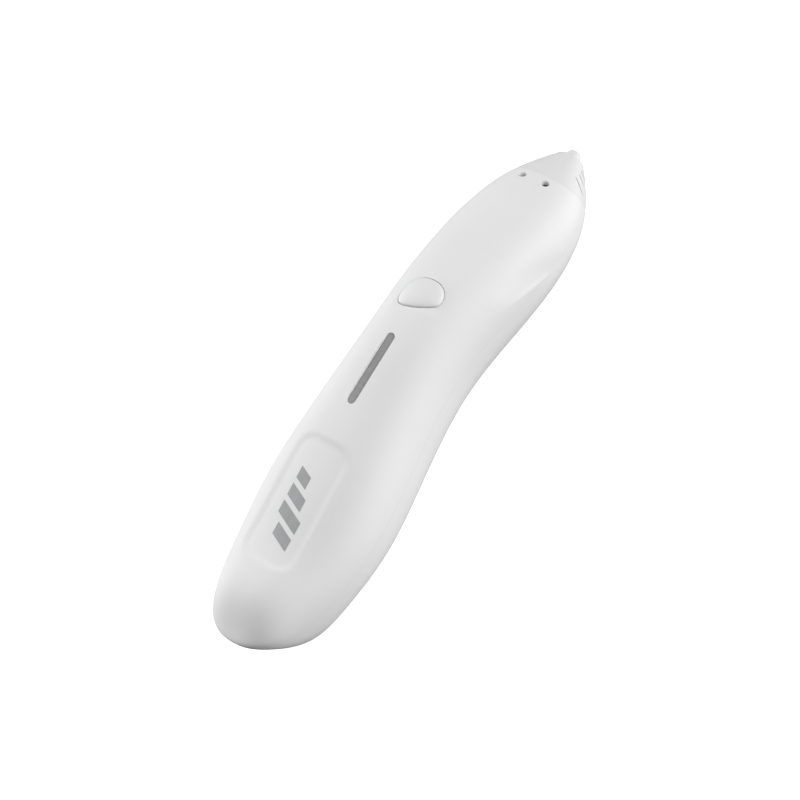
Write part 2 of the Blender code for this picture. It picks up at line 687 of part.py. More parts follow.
def make_feed():
    x, z = FEED_AT
    pivot = (x, 0, z)
    add_part("feed_shaft", rod((x, -5.6, z), (x, 12.2, z), SHAFT_RADIUS), STEEL, pivot)
    outline = gear_outline(FEED_TEETH, math.pi - MOTOR_LIFT, FEED_AT)
    gear = add_part("feed_gear", prism(outline, 9.8, 11.6, sideways), NATURAL_NYLON, pivot)
    cut(gear, rod((x, 8, z), (x, 13, z), SHAFT_HOLE_RADIUS), "gear_bore")
    knurl_points, knurl_depth = 56, 0.25
    knurl = []
    for k in range(knurl_points):
        angle = 2 * math.pi * k / knurl_points
        radius = WHEEL_RADIUS - knurl_depth * (k % 2)
        knurl.append((x + radius * math.cos(angle), z + radius * math.sin(angle)))
    wheel = add_part("feed_wheel", prism(knurl, -2.2, 2.2, sideways), STEEL, pivot)
    cut(wheel, rod((x, -4, z), (x, 4, z), SHAFT_HOLE_RADIUS), "wheel_bore")
    for name, start in (("left", 3.4), ("right", -4.8)):
        bush = sleeve((x, start, z), (x, start + 1.4, z), 2.5, 1.8)
        add_part(f"feed_bush_{name}", bush, BRASS)


def make_feed_frame():
    """Two cheeks and two cross walls that carry the feed shaft and the idler arm."""
    cheek = rounded_box(67.2, 81.8, 5.9, 26.5, 1.0, 1)
    frame = add_part("feed_frame", prism(cheek, -4.6, 4.6, sideways), BLACK_NYLON)
    room = box((68.4, 80.6), (-3.4, 3.4), (5.0, 30), 0.1)
    x, z = FEED_AT
    bushes = rod((x, -6, z), (x, 6, z), 2.7, 20)
    tube_hole = rod((60, 0, FILAMENT_HEIGHT), (90, 0, FILAMENT_HEIGHT), 2.2)
    pin = rod((ARM_PIVOT[0], -6, ARM_PIVOT[1]), (ARM_PIVOT[0], 6, ARM_PIVOT[1]), 1.0, 12)
    cut(frame, room, "frame_room")
    cut(frame, bushes, "frame_bores")
    cut(frame, tube_hole, "frame_hose_holes")
    cut(frame, pin, "frame_pin_holes")
    seat = box((67.6, 71.2), (-3.9, 3.9), (5.9, 6.7), 0.1)
    join(frame, seat, "frame_spring_seat")


def make_idler():
    pivot = (ARM_PIVOT[0], 0, ARM_PIVOT[1])
    centres = [(68.8, 10.4), ROLLER_AT, ARM_PIVOT]
    upper = [(u, v + 1.4) for u, v in centres]
    lower = [(u, v - 1.4) for u, v in centres]
    nose_radius = 1.35
    front = []
    for angle in (0.8, 0.0, -0.8):
        u = ARM_PIVOT[0] + nose_radius * math.cos(angle)
        v = ARM_PIVOT[1] + nose_radius * math.sin(angle)
        front.append((u, v))
    outline = upper + front + lower[::-1]
    arm = add_part("idler_arm", prism(outline, -2.9, 2.9, sideways), NATURAL_NYLON, pivot)
    cut(arm, box((70.1, 84), (-1.9, 1.9), (2, 16), 0.1), "arm_fork")
    axle = rod((ROLLER_AT[0], -5, ROLLER_AT[1]), (ROLLER_AT[0], 5, ROLLER_AT[1]), 1.0, 12)
    pin = rod((ARM_PIVOT[0], -5, ARM_PIVOT[1]), (ARM_PIVOT[0], 5, ARM_PIVOT[1]), 0.95, 12)
    cut(arm, together([axle, pin]), "arm_bores")
    pin = rod((pivot[0], -4.5, pivot[2]), (pivot[0], 4.5, pivot[2]), 0.75, 12)
    add_part("idler_pivot_pin", pin, STEEL)
    roller_pivot = (ROLLER_AT[0], 0, ROLLER_AT[1])
    x, z = ROLLER_AT
    add_part("idler_axle", rod((x, -2.8, z), (x, 2.8, z), 0.8, 12), STEEL, roller_pivot)
    roller = sleeve((x, -1.6, z), (x, 1.6, z), ROLLER_RADIUS, 1.0, 24)
    add_part("idler_roller", roller, STEEL, roller_pivot)


def make_idler_spring():
    turns, per_turn, radius, wire = 3.0, 12, 0.75, 0.18
    low, high = 6.9 + wire, 8.7 - wire
    points = []
    for k in range(int(turns * per_turn) + 1):
        angle = 2 * math.pi * k / per_turn
        rise = low + (high - low) * k / (turns * per_turn)
        points.append(Vector((69.45 + radius * math.cos(angle), radius * math.sin(angle), rise)))
    rings = []
    for k, point in enumerate(points):
        before, after = points[max(k - 1, 0)], points[min(k + 1, len(points) - 1)]
        rings.append(circle_about(point, after - before, wire, 6))
    add_part("idler_spring", loft(rings), STEEL)


def make_hoses():
    ends = ((13.3, 0, FILAMENT_HEIGHT), (66.8, 0, FILAMENT_HEIGHT))
    add_part("inlet_tube", sleeve(*ends, 1.6, FILAMENT_BORE_RADIUS, 16), HOSE_WHITE)
    start, span, steps = 82.2, 55.0, 12
    points = []
    for k in range(steps + 1):
        share = k / steps
        drop = (1 - math.cos(math.pi * share)) / 2
        height = FILAMENT_HEIGHT + (NOZZLE_HEIGHT - FILAMENT_HEIGHT) * drop
        points.append((start + span * share, 0, height))
    add_part("feed_tube", tube_along(points, 2.0, FILAMENT_BORE_RADIUS), HOSE_WHITE)


# ---------------------------------------------------------------- hot end

def make_hot_end():
    axis = (1, 0, 0)

    def on_axis(distance):
        return (distance, 0, NOZZLE_HEIGHT)

    bore = FILAMENT_BORE_RADIUS
    core, fin, fin_width, fin_pitch = 3.2, 5.2, 1.2, 2.8
    fins = [(0, bore), (0, core)]
    for k in range(4):
        start = 0.8 + fin_pitch * k
        fins += [(start, core), (start, fin), (start + fin_width, fin), (start + fin_width, core)]
    fins += [(12.0, core), (12.0, bore)]
    add_part("heat_sink", turned(on_axis(137.6), axis, fins, 16, bored=True), ALUMINIUM)
    add_part("insulating_collar", sleeve(on_axis(149.9), on_axis(153.9), 4.0, bore), CERAMIC)
    barrel = [(0, bore), (0, 3.6), (1.6, 3.6), (1.6, 2.8), (11.8, 2.8), (11.8, bore)]
    add_part("melt_barrel", turned(on_axis(154.2), axis, barrel, 20, bored=True), BRASS)
    add_part("heater_coil", sleeve(on_axis(157.0), on_axis(164.5), 4.6, 3.1), CERAMIC)
    bead_height = NOZZLE_HEIGHT + 5.5
    bead = rod((158.5, 0, bead_height), (162.5, 0, bead_height), 0.7, 10)
    add_part("temperature_sensor", bead, DARK_PLASTIC)
    nozzle_back = 166.3
    tip = LENGTH - nozzle_back
    profile = [(0, bore), (0, 2.5), (6.0, 2.5), (6.0, 2.8), (tip - 2.4, 2.8), (tip - 1.2, 2.3)]
    profile += [(tip - 0.4, 1.8), (tip, 1.2), (tip, 0.35), (tip - 2, 0.35), (tip - 3, bore)]
    add_part("nozzle", turned(on_axis(nozzle_back), axis, profile, 28, bored=True), CAP_WHITE)


def clear_scene():
    for thing in list(bpy.data.objects):
        bpy.data.objects.remove(thing)


clear_scene()
make_upper_shell()
make_lower_shell()
make_nose_cap()
make_tail()
make_button()
make_switch()
make_light_window()
make_eyes()
make_power()
make_main_board()
make_case_screws()
make_motor()
make_feed()
make_feed_frame()
make_idler()
make_idler_spring()
make_hoses()
make_hot_end()
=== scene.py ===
"""Looks of the cordless three d pen: shells, button, light window, nose cap, nozzle and inner works.

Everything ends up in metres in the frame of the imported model: X from the tail to the nozzle, Y to the pen's
left, Z up, the belly on zero. Shapes are worked out in millimetres, with distances that run along the pen
from the tail's round end at TAIL_END to the tip at LENGTH.
"""

import math

import bpy
import numpy as np
from mathutils import Matrix, Vector


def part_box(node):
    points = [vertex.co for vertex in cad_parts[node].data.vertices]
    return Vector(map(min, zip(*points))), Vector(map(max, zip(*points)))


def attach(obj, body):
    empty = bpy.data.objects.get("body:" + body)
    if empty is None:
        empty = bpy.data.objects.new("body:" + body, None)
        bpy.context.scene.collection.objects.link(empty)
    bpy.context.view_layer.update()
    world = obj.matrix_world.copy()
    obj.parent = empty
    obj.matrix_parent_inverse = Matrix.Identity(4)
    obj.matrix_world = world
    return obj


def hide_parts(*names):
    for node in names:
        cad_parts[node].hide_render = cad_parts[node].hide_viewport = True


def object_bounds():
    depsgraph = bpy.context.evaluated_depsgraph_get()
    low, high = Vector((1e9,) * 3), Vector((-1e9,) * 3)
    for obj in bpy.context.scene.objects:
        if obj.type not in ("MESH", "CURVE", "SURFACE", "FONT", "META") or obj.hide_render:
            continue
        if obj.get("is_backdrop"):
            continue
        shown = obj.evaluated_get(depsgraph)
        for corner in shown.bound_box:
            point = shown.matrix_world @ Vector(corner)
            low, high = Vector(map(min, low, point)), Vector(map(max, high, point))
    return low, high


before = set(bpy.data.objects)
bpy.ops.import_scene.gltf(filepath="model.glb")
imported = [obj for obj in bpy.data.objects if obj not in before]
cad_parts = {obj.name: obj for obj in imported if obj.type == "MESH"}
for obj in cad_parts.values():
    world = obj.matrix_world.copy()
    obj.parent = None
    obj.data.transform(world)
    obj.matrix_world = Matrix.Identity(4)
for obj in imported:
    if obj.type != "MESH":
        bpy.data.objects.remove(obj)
CAD_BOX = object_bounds()

MM = 0.001
LENGTH, TAIL_END = 178.0, 0.9
MIDDLE = (LENGTH + TAIL_END) / 2
BODY = "pen_body"

# Outline of the body: distance along the pen, height of the top, height of the belly, half width
OUTLINE = [
    (TAIL_END, 24.7, 23.7, 0.5),
    (5.0, 28.3, 16.3, 10.1),
    (14.0, 34.0, 2.7, 14.3),
    (28.0, 34.8, 0.2, 17.6),
    (50.0, 38.2, -0.1, 19.1),
    (75.0, 41.0, 2.8, 16.9),
    (100.0, 41.5, 3.8, 15.4),
    (125.0, 36.9, 1.0, 17.0),
    (146.0, 29.5, -0.3, 16.9),
    (162.0, 22.6, 1.8, 12.8),
    (173.0, 16.3, 5.7, 5.8),
    (178.0, 12.8, 8.9, 1.9),
]
UPPER_SQUARENESS = 2.4
LOWER_SQUARENESS = 2.8
WALL = 1.8
SEAM, CAP_SEAM, SKIN_DROP = 0.025, 0.012, 0.06
BODY_FRONT = 163.0
CAP_FRONT = 175.5
NOZZLE_HEIGHT = 10.85

# Vents in the cap's sides, from one place to another: distance along the pen, degrees up the side
VENT_SLITS = [((168.6, 36), (165.2, 4)), ((170.4, 26), (168.4, 2)), ((172.2, 16), (171.0, -4))]
SLIT_HALF_WIDTH = 0.17

PAD_BACK, PAD_FRONT, PAD_HALF_WIDTH, PAD_CORNER = 22.0, 61.5, 9.6, 5.6
PAD_DEPTH, PAD_BANK = 0.6, 2.3
TAIL_ROUNDING, INNER_PUSH = 0.25, 2.2
MERGE_AT = 1e-6
WINDOW_BACK, WINDOW_FRONT, WINDOW_HALF_WIDTH = 72.3, 95.3, 1.3
BUTTON_MIDDLE, BUTTON_FRONT, BUTTON_BACK, BUTTON_HALF_WIDTH = 109.6, 5.4, 4.8, 6.35
BUTTON_SLANT, BUTTON_GAP, BUTTON_DOME, STEM_SHARE = 0.32, 0.13, 1.1, 0.32
EYE_AT, EYE_SIDE, EYE_RADIUS = 160.4, 4.1, 1.1
DISH_DEPTH, DISH_REACH = 0.22, 1.45

# Finger scoops on the flanks: a small step up from the crease, then a bowl that fades out towards the top
SCOOP_MIDDLE, SCOOP_REACH, SCOOP_DEPTH = 132.0, 14.0, 0.7
CREASE_DEGREES, CREASE_AT, CREASE_TILT = 9.0, 123.0, 0.62
STEP_SHARE, STEP_DEGREES, BOWL_DEGREES = 0.3, 1.6, 6
FADE_FROM, FADE_TO = 10, 42

FACET_MIDDLE = Vector((8.8, 0, 10.5))
FACET_OUT = Vector((-0.835, 0, -0.55)).normalized()
FACET_UP = Vector((-0.55, 0, 0.835)).normalized()
FACET_HALF_WIDTH, FACET_HALF_HEIGHT, PLATE_THICKNESS = 5.5, 8.2, 1.6
SOCKET_SLIDE = -4.7
CASE_SCREWS = [(14.5, 9.0, 10.6), (130.0, 9.0, 9.6)]


# ---------------------------------------------------------------- the body's surface

def bend_of(values, places):
    """Second derivatives of the natural cubic through the given values."""
    count = len(places)
    spans = np.diff(places)
    slopes = np.diff(values) / spans
    system = np.eye(count)
    right = np.zeros(count)
    for k in range(1, count - 1):
        system[k, k - 1:k + 2] = spans[k - 1], 2 * (spans[k - 1] + spans[k]), spans[k]
        right[k] = 6 * (slopes[k] - slopes[k - 1])
    return np.linalg.solve(system, right)


PLACES = np.sqrt([row[0] - TAIL_END for row in OUTLINE])
TOP, BELLY, HALF_WIDTH = (np.array([row[column] for row in OUTLINE]) for column in (1, 2, 3))
BENDS = {id(values): bend_of(values, PLACES) for values in (TOP, BELLY, HALF_WIDTH)}


def smooth_values(values, distance):
    """Values on the smooth curve through the outline's stations, run in the root of the distance."""
    place = np.sqrt(np.maximum(distance - TAIL_END, 0.0))
    k = np.clip(np.searchsorted(PLACES, place) - 1, 0, len(PLACES) - 2)
    span = PLACES[k + 1] - PLACES[k]
    ahead, behind = (PLACES[k + 1] - place) / span, (place - PLACES[k]) / span
    bends = BENDS[id(values)]
    curve = (ahead ** 3 - ahead) * bends[k] + (behind ** 3 - behind) * bends[k + 1]
    return ahead * values[k] + behind * values[k + 1] + curve * span ** 2 / 6


def section(distance, inset=0.0):
    """Middle height, half height and half width, inset from the surface; the tail's end is a point."""
    top, belly = smooth_values(TOP, distance), smooth_values(BELLY, distance)
    half_width = smooth_values(HALF_WIDTH, distance)
    closed = np.minimum((distance - TAIL_END) / TAIL_ROUNDING, 1.0) ** 0.5
    tall = np.maximum((top - belly) / 2 - inset - SKIN_DROP, 0.0) * closed
    wide = np.maximum(half_width - inset - SKIN_DROP, 0.0) * closed
    return (top + belly) / 2, tall, wide


def bare_skin(distance, angle, inset=0.0):
    """Points of the smooth body; angle 0 is the left side and a quarter turn is the top."""
    middle, tall, wide = section(distance, inset)
    across, up = np.cos(angle), np.sin(angle)
    power = np.where(up > 0, 2 / UPPER_SQUARENESS, 2 / LOWER_SQUARENESS)
    y = wide * np.sign(across) * np.abs(across) ** power
    z = middle + tall * np.sign(up) * np.abs(up) ** power
    return np.stack([distance, y, np.maximum(z, inset)], axis=-1)


def ease(low, high, value):
    """0 below low, 1 above high, and smooth between."""
    share = np.clip((value - low) / (high - low), 0, 1)
    return share * share * (3 - 2 * share)


def inside_pad(distance, side):
    """How far inside the pad's round-cornered outline a place is."""
    half_length = (PAD_FRONT - PAD_BACK) / 2
    along = np.abs(distance - (PAD_FRONT + PAD_BACK) / 2) - (half_length - PAD_CORNER)
    across = np.abs(side) - (PAD_HALF_WIDTH - PAD_CORNER)
    corner = np.hypot(np.maximum(along, 0), np.maximum(across, 0))
    return PAD_CORNER - corner - np.minimum(np.maximum(along, across), 0)


def button_reach(distance, side):
    """Share of the way from the button's middle to its outline."""
    along = distance - BUTTON_MIDDLE
    across = np.abs(side / BUTTON_HALF_WIDTH)
    lean = BUTTON_SLANT * side * np.clip(1 - across ** 2, 0, 1) ** 0.25
    front = (np.abs(along / BUTTON_FRONT) ** 2.17 + across ** 2.17) ** 0.46
    back = (np.abs(np.minimum(along + lean, 0) / BUTTON_BACK) ** 3.3 + across ** 2.17) ** 0.4
    return np.where(along > 0, front, back)


def sunk(distance, angle, side):
    """Depth of the surface's soft features below the smooth body."""
    on_top = np.sin(angle) > 0
    pad = PAD_DEPTH * ease(0.0, PAD_BANK, inside_pad(distance, side)) * on_top
    near_button = button_reach(distance, side)
    dish = DISH_DEPTH * (1 - ease(1.0, DISH_REACH, near_button)) * on_top
    degrees = np.degrees(np.where(np.cos(angle) < 0, math.pi - angle, angle))
    above = degrees - (CREASE_DEGREES - (distance - CREASE_AT) * CREASE_TILT)
    spread = np.clip(1 - ((distance - SCOOP_MIDDLE) / SCOOP_REACH) ** 2, 0, 1) ** 2
    step = STEP_SHARE * ease(0, STEP_DEGREES, above)
    bowl = (1 - STEP_SHARE) * (1 - np.exp(-np.maximum(above, 0) / BOWL_DEGREES))
    scoop = (step + bowl) * (1 - ease(FADE_FROM, FADE_TO, above))
    return pad + dish + SCOOP_DEPTH * spread * scoop


def skin(distance, angle, inset=0.0):
    """Points of the finished surface, with the pad, the dish round the button and the finger scoops."""
    step = 0.01
    along = bare_skin(distance + step, angle) - bare_skin(np.maximum(distance - step, TAIL_END), angle)
    round_it = bare_skin(distance, angle + step) - bare_skin(distance, angle - step)
    out = np.cross(along, round_it)
    out /= np.maximum(np.linalg.norm(out, axis=-1, keepdims=True), 1e-9)
    base = bare_skin(distance, angle, inset)
    outwards = bare_skin(distance, angle) - np.stack([distance, 0 * distance, section(distance)[0]], axis=-1)
    out *= np.sign(np.sum(out * outwards, axis=-1, keepdims=True))
    return base - out * sunk(distance, angle, base[..., 1])[..., None]


def top_height(distance, side, inset=0.0):
    """Height of the smooth upper surface over a place."""
    middle, tall, wide = section(np.asarray(distance, float), inset)
    share = np.minimum(np.abs(side) / wide, 0.999)
    return middle + tall * (1 - share ** UPPER_SQUARENESS) ** (1 / UPPER_SQUARENESS)


def to_frame(points):
    """Millimetres along the pen into the frame's metres."""
    return (np.asarray(points) - np.array([MIDDLE, 0, 0])) * MM


# ---------------------------------------------------------------- modelling helpers

def deselect():
    if bpy.context.object and bpy.context.object.mode != "OBJECT":
        bpy.ops.object.mode_set(mode="OBJECT")
    bpy.ops.object.select_all(action="DESELECT")


def activate(piece):
    deselect()
    piece.select_set(True)
    bpy.context.view_layer.objects.active = piece


def named(name):
    """Name the primitive that was just added."""
    piece = bpy.context.object
    piece.name = name
    piece.data.name = name
    return piece


def points_of(piece):
    found = np.zeros(len(piece.data.vertices) * 3)
    piece.data.vertices.foreach_get("co", found)
    return found.reshape(-1, 3)


def reshape(piece, rule):
    """Move every vertex by a rule that takes and gives an array of points."""
    piece.data.vertices.foreach_set("co", np.asarray(rule(points_of(piece)), float).ravel())
    piece.data.update()


def face_out(piece):
    activate(piece)
    bpy.ops.object.mode_set(mode="EDIT")
    bpy.ops.mesh.select_all(action="SELECT")
    bpy.ops.mesh.normals_make_consistent(inside=False)
    bpy.ops.object.mode_set(mode="OBJECT")


def smooth(piece, degrees=32):
    activate(piece)
    bpy.ops.object.shade_smooth_by_angle(angle=math.radians(degrees))


def settle(piece):
    """Apply a piece's place, turn and size, so that its object sits at the origin."""
    activate(piece)
    bpy.ops.object.transform_apply(location=True, rotation=True, scale=True)


def apply_modifiers(piece):
    activate(piece)
    for step in list(piece.modifiers):
        bpy.ops.object.modifier_apply(modifier=step.name)


def cut_with(piece, tools, operation="DIFFERENCE"):
    """Boolean the piece with each tool, then remove the tools."""
    for tool in tools:
        face_out(tool)
        step = piece.modifiers.new(tool.name, "BOOLEAN")
        step.operation = operation
        step.object = tool
        step.solver = "MANIFOLD"
        apply_modifiers(piece)
        bpy.data.objects.remove(tool)
    return piece


def bevel_edges(piece, width, segments=3, degrees=30):
    step = piece.modifiers.new("soft_edges", "BEVEL")
    step.width = width
    step.segments = segments
    step.limit_method = "ANGLE"
    step.angle_limit = math.radians(degrees)
    apply_modifiers(piece)


def thick_grid(name, along, across):
    """A closed slab from a grid: X and Y run from 0 to 1, and Z is 0 outside and -1 inside."""
    deselect()
    place = (0.5, 0.5, 0)
    bpy.ops.mesh.primitive_grid_add(x_subdivisions=along, y_subdivisions=across, size=1, location=place)
    slab = named(name)
    settle(slab)
    bpy.ops.object.mode_set(mode="EDIT")
    bpy.ops.mesh.select_all(action="SELECT")
    bpy.ops.mesh.extrude_region_move(TRANSFORM_OT_translate={"value": (0, 0, -1)})
    bpy.ops.object.mode_set(mode="OBJECT")
    return slab


def stacked(name, sides, levels):
    """A round solid about Z, drawn up level by level: each level is (height, radius)."""
    deselect()
    height, radius = levels[0]
    place = (0, 0, height)
    bpy.ops.mesh.primitive_circle_add(vertices=sides, radius=radius, fill_type="NGON", location=place)
    piece = named(name)
    settle(piece)
    bpy.ops.object.mode_set(mode="EDIT")
    bpy.ops.mesh.select_all(action="SELECT")
    for next_height, next_radius in levels[1:]:
        bpy.ops.mesh.extrude_region_move(TRANSFORM_OT_translate={"value": (0, 0, next_height - height)})
        share = next_radius / radius
        bpy.ops.transform.resize(value=(share, share, 1), center_override=(0, 0, next_height))
        height, radius = next_height, next_radius
    bpy.ops.object.mode_set(mode="OBJECT")
    face_out(piece)
    return piece


def point_along(piece, origin, direction):
    """Turn a piece built about Z so that its Z runs along a direction from an origin, and settle it."""
    turn = Vector((0, 0, 1)).rotation_difference(Vector(direction)).to_matrix()
    base = np.array(origin, float)
    matrix = np.array(turn)
    reshape(piece, lambda points: points @ matrix.T + base)
    return piece


def into_frame(piece):
    reshape(piece, to_frame)
    return piece


def dress(piece, look, body=BODY, nodes=(), degrees=32):
    """Give a finished piece its material, its body and the CAD nodes that it stands for."""
    piece.data.materials.clear()
    piece.data.materials.append(look)
    smooth(piece, degrees)
    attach(piece, body)
    if nodes:
        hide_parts(*nodes)
    return piece


# ---------------------------------------------------------------- shader helpers

class Value:
    """A number that changes over a surface, with arithmetic that adds Math nodes."""

    def __init__(self, finish, socket):
        self.finish, self.socket = finish, socket

    def math(self, operation, first, second):
        return self.finish.add("ShaderNodeMath", {"operation": operation}, {0: first, 1: second})

    def __add__(self, other):
        return self.math("ADD", self, other)

    __radd__ = __add__

    def __sub__(self, other):
        return self.math("SUBTRACT", self, other)

    def __rsub__(self, other):
        return self.math("SUBTRACT", other, self)

    def __mul__(self, other):
        return self.math("MULTIPLY", self, other)

    __rmul__ = __mul__

    def __pow__(self, other):
        return self.math("POWER", self, other)


class Finish:
    """A Principled material and the nodes that vary it."""

    def __init__(self, name, **fixed):
        self.material = bpy.data.materials.new(name)
        self.material.use_nodes = True
        self.tree = self.material.node_tree
        self.surface = self.tree.nodes["Principled BSDF"]
        for socket, value in fixed.items():
            self.surface.inputs[socket.replace("_", " ")].default_value = value
        self.place = self.add("ShaderNodeTexCoord", {}, {}, output="Object")

    def add(self, kind, settings, inputs, output=0):
        """Add a node: settings first, then the values or links of its sockets."""
        node = self.tree.nodes.new(kind)
        for key, setting in settings.items():
            if key == "stops":
                self.set_stops(node, setting)
            else:
                setattr(node, key, setting)
        for key, given in inputs.items():
            if isinstance(given, Value):
                self.tree.links.new(given.socket, node.inputs[key])
            else:
                node.inputs[key].default_value = given
        return Value(self, node.outputs[output])

    def set_stops(self, node, stops):
        ramp = node.color_ramp
        for k, (position, colour) in enumerate(stops):
            stop = ramp.elements[k] if k < 2 else ramp.elements.new(position)
            stop.position = position
            stop.color = (*colour, 1)

    def feed(self, socket, value):
        self.tree.links.new(value.socket, self.surface.inputs[socket])

    def noise(self, scale, detail=3.0, roughness=0.5, stretch=None):
        place = self.place
        if stretch:
            place = self.add("ShaderNodeMapping", {}, {"Vector": self.place, "Scale": stretch})
        settings = {"Vector": place, "Scale": scale, "Detail": detail, "Roughness": roughness}
        return self.add("ShaderNodeTexNoise", {}, settings, output="Fac")

    def band(self, value, low, high):
        """0 below low and 1 above high."""
        spread = {"Value": value, "From Min": low, "From Max": high}
        return self.add("ShaderNodeMapRange", {"clamp": True}, spread)

    def blend(self, share, first, second):
        """Mix two colours."""
        inputs = {"Factor": share, 6: (*first, 1) if isinstance(first, tuple) else first}
        inputs[7] = (*second, 1) if isinstance(second, tuple) else second
        return self.add("ShaderNodeMix", {"data_type": "RGBA"}, inputs, output=2)

    def bump(self, height, distance, strength=1.0):
        inputs = {"Height": height, "Distance": distance, "Strength": strength}
        self.feed("Normal", self.add("ShaderNodeBump", {}, inputs))


def moulded(name, colour, shade, roughness, grain=0.000012, coat=0.0, shine=0.2):
    """Satin moulded plastic: fine spark-eroded grain, faint clouding and handled, shinier patches."""
    finish = Finish(name, IOR=1.47, Specular_IOR_Level=shine, Coat_Weight=coat, Coat_Roughness=0.25)
    cloud = finish.noise(38.0, 3.0)
    specks = finish.noise(2600.0, 2.0, 0.6)
    flow = finish.noise(90.0, 2.0, stretch=(0.25, 1, 1))
    tone = finish.band(cloud * 0.7 + flow * 0.3, 0.3, 0.7)
    finish.feed("Base Color", finish.blend(tone, colour, shade))
    handled = finish.band(finish.noise(22.0, 4.0, 0.6), 0.42, 0.68)
    finish.feed("Roughness", roughness + 0.05 * specks - 0.07 * handled)
    finish.bump(specks, grain, 0.6)
    return finish.material


def tinted_window():
    """Smoked window over a diffuser, with faint ribs across it."""
    finish = Finish("window_smoke", IOR=1.5, Coat_Weight=0.35, Coat_Roughness=0.12)
    ribs = finish.noise(900.0, 1.0, stretch=(1, 0.05, 0.05))
    cloud = finish.noise(120.0, 3.0)
    tone = finish.band(ribs * 0.5 + cloud * 0.5, 0.35, 0.65)
    finish.feed("Base Color", finish.blend(tone, (0.235, 0.235, 0.238), (0.275, 0.275, 0.278)))
    finish.feed("Roughness", 0.32 + 0.1 * cloud)
    finish.bump(ribs, 0.00001, 0.4)
    return finish.material


def printed_ink():
    """Silver-grey pad-printed ink with a faint brushed lay."""
    finish = Finish("mark_ink", IOR=1.45)
    streaks = finish.noise(700.0, 3.0, stretch=(0.12, 1, 1))
    cloud = finish.noise(160.0, 2.0)
    tone = finish.band(streaks * 0.6 + cloud * 0.4, 0.3, 0.7)
    finish.feed("Base Color", finish.blend(tone, (0.30, 0.305, 0.31), (0.36, 0.365, 0.37)))
    finish.feed("Roughness", 0.42 + 0.14 * cloud)
    finish.bump(streaks, 0.000006, 0.5)
    return finish.material


def metal(name, colour, shade, roughness, stretch=(1, 1, 1)):
    """Machined or plated metal: fine tool lines and a few duller patches."""
    finish = Finish(name, Metallic=1.0)
    lines = finish.noise(1800.0, 2.0, stretch=stretch)
    cloud = finish.noise(200.0, 4.0, 0.6)
    finish.feed("Base Color", finish.blend(finish.band(cloud, 0.3, 0.7), colour, shade))
    finish.feed("Roughness", roughness + 0.12 * cloud + 0.05 * lines)
    finish.bump(lines, 0.000006, 0.5)
    return finish.material


def matt_solid(name, colour, shade, roughness, scale=400.0):
    """Plain inner parts: nylon, ceramic, wrap, resin."""
    finish = Finish(name, IOR=1.48)
    cloud = finish.noise(scale * 0.3, 3.0)
    specks = finish.noise(scale * 5, 2.0)
    finish.feed("Base Color", finish.blend(finish.band(cloud, 0.3, 0.7), colour, shade))
    finish.feed("Roughness", roughness + 0.08 * specks)
    finish.bump(specks, 0.00001, 0.5)
    return finish.material


def solder_mask():
    """Green board with faint tracks under its mask."""
    finish = Finish("board_mask", IOR=1.5, Coat_Weight=0.4, Coat_Roughness=0.2)
    tracks = {"Vector": finish.place, "Scale": 420.0, "Mortar Size": 0.06}
    grid = finish.add("ShaderNodeTexBrick", {}, tracks, output="Fac")
    cloud = finish.noise(150.0, 3.0)
    tone = finish.band(grid * 0.7 + cloud * 0.3, 0.1, 0.8)
    finish.feed("Base Color", finish.blend(tone, (0.012, 0.13, 0.05), (0.03, 0.22, 0.09)))
    finish.feed("Roughness", 0.34 + 0.1 * cloud)
    finish.bump(grid, 0.00002, 0.5)
    return finish.material


SHELL = moulded("shell_white", (0.72, 0.72, 0.723), (0.745, 0.745, 0.747), 0.52)
# The cap and nozzle are the shell's white plastic painted a little darker. This is painted shade for the
# nose's dimmer shading, not a different plastic.
CAP_PAINTED_SHADE = moulded("cap_white_painted_shade", (0.68, 0.68, 0.683), (0.70, 0.70, 0.702), 0.54)
BUTTON = moulded("button_white", (0.71, 0.711, 0.714), (0.735, 0.736, 0.738), 0.38,
                 grain=0.000005, coat=0.05, shine=0.3)
DARK = moulded("dark_moulded", (0.035, 0.035, 0.037), (0.05, 0.05, 0.052), 0.42)
BLACK_NYLON = matt_solid("black_nylon", (0.03, 0.03, 0.031), (0.05, 0.05, 0.052), 0.45)
NYLON = matt_solid("natural_nylon", (0.68, 0.66, 0.60), (0.73, 0.71, 0.66), 0.42)
HOSE = matt_solid("slippery_hose", (0.82, 0.82, 0.79), (0.87, 0.87, 0.85), 0.32)
CERAMIC = matt_solid("fired_ceramic", (0.80, 0.78, 0.73), (0.86, 0.84, 0.80), 0.6)
WRAP = matt_solid("cell_wrap", (0.03, 0.12, 0.38), (0.05, 0.16, 0.45), 0.3)
LENS = matt_solid("lamp_resin", (0.83, 0.85, 0.78), (0.88, 0.9, 0.84), 0.15)
STEEL = metal("plated_steel", (0.55, 0.55, 0.57), (0.66, 0.66, 0.68), 0.24, (0.1, 1, 1))
BRASS = metal("turned_brass", (0.72, 0.52, 0.23), (0.82, 0.62, 0.32), 0.26, (1, 0.1, 0.1))
ALUMINIUM = metal("turned_aluminium", (0.70, 0.71, 0.73), (0.80, 0.81, 0.83), 0.3, (1, 0.1, 0.1))
WINDOW = tinted_window()
INK = printed_ink()
BOARD = solder_mask()

